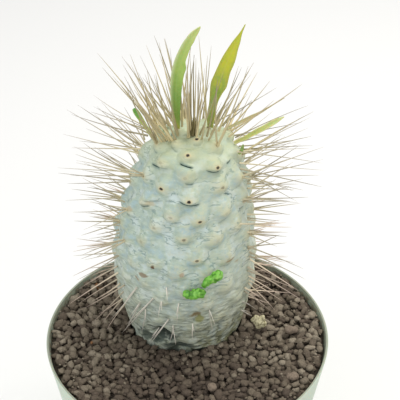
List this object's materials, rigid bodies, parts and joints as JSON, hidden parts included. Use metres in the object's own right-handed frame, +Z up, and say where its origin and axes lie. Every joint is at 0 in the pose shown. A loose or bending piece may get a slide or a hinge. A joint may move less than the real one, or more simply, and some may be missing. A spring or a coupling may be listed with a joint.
{
  "type": "potted pachypodium",
  "caption": "Potted pachypodium: a spiny barrel-trunked succulent with upright leaves, in a round tapered pot of gritty soil.",
  "frame": {"origin": "middle of the pot's flat underside, on the surface it stands on", "axes": "+Z up through the pot and the trunk; the picture looks along +Y, and +X is to its right"},
  "size_m": [0.14, 0.1531, 0.2757],
  "materials": {
    "pot_plastic": "moulded pale sage green, satin",
    "soil_grit": "loose dark grey-brown grains, dull",
    "trunk_bark": "living bark, pale sage grey, waxy and smooth",
    "spine": "dry straw to khaki, smooth",
    "leaf_green": "living leaf, fresh green, satin",
    "leaf_yellow": "living leaf turning yellow, satin",
    "leaf_khaki": "dry leaf, khaki, dull",
    "sprout": "fleshy bright green shoot, glossy",
    "husk": "dry straw-coloured flake, dull",
    "stone_brown": "rounded brown grit stone, dull"
  },
  "bodies": {
    "root": {"pot": "pot_plastic", "soil_mix": "soil_grit", "trunk": "trunk_bark", "leaf_long": "leaf_green", "leaf_broad": "leaf_yellow", "leaf_right_narrow": "leaf_yellow", "leaf_right_khaki": "leaf_khaki", "leaf_stub": "leaf_green", "leaf_bud_left": "leaf_green", "leaf_bud_right": "leaf_green", "sprout_lower": "sprout", "sprout_upper": "sprout", "husk": "husk", "stone_right": "stone_brown", "stone_front_right": "stone_brown", "stone_front": "stone_brown", "spine_cluster_01": "spine", "spine_cluster_02": "spine", "spine_cluster_03": "spine", "spine_cluster_04": "spine", "spine_cluster_05": "spine", "spine_cluster_06": "spine", "spine_cluster_07": "spine", "spine_cluster_08": "spine", "spine_cluster_09": "spine", "spine_cluster_10": "spine", "spine_cluster_11": "spine", "spine_cluster_12": "spine", "spine_cluster_13": "spine", "spine_cluster_14": "spine", "spine_cluster_15": "spine", "spine_cluster_16": "spine", "spine_cluster_17": "spine", "spine_cluster_18": "spine", "spine_cluster_19": "spine", "spine_cluster_20": "spine", "spine_cluster_21": "spine", "spine_cluster_22": "spine", "spine_cluster_23": "spine", "spine_cluster_24": "spine", "spine_cluster_25": "spine", "spine_cluster_26": "spine", "spine_cluster_27": "spine", "spine_cluster_28": "spine", "spine_cluster_29": "spine", "spine_cluster_30": "spine", "spine_cluster_31": "spine", "spine_cluster_32": "spine", "spine_cluster_33": "spine", "spine_cluster_34": "spine", "spine_cluster_35": "spine", "spine_cluster_36": "spine", "spine_cluster_37": "spine", "spine_cluster_38": "spine", "spine_cluster_39": "spine", "spine_cluster_40": "spine", "spine_cluster_41": "spine", "spine_cluster_42": "spine"}
  },
  "joints": []
}
